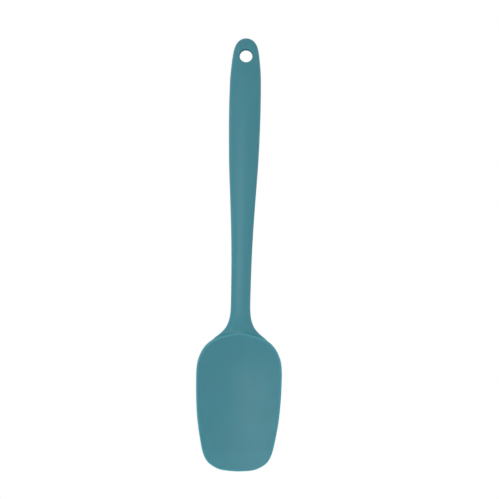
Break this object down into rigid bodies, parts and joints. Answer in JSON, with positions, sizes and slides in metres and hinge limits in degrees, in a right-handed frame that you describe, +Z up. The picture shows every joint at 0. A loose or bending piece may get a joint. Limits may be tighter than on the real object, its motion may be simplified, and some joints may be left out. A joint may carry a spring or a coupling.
{
  "type": "silicone spoon spatula",
  "caption": "One-piece silicone spoon spatula: shallow dished blade with a thin rounded lip, slim neck, oval handle and a round hanging hole.",
  "frame": {"origin": "on the table under the middle of the tool's box, as it lies on its back with the dish up", "axes": "+Y along the tool from the blade's tip to the hanging end, +Z up out of the dish, +X across the blade"},
  "size_m": [0.0534, 0.2701, 0.0132],
  "materials": {
    "silicone": "teal food-grade silicone rubber, moulded, matte",
    "nylon": "black glass-filled nylon, moulded, matte",
    "steel": "stainless spring steel strip, rolled and blanked"
  },
  "bodies": {
    "root": {"silicone_skin": "silicone", "nylon_core": "nylon", "steel_spine": "steel"}
  },
  "joints": []
}
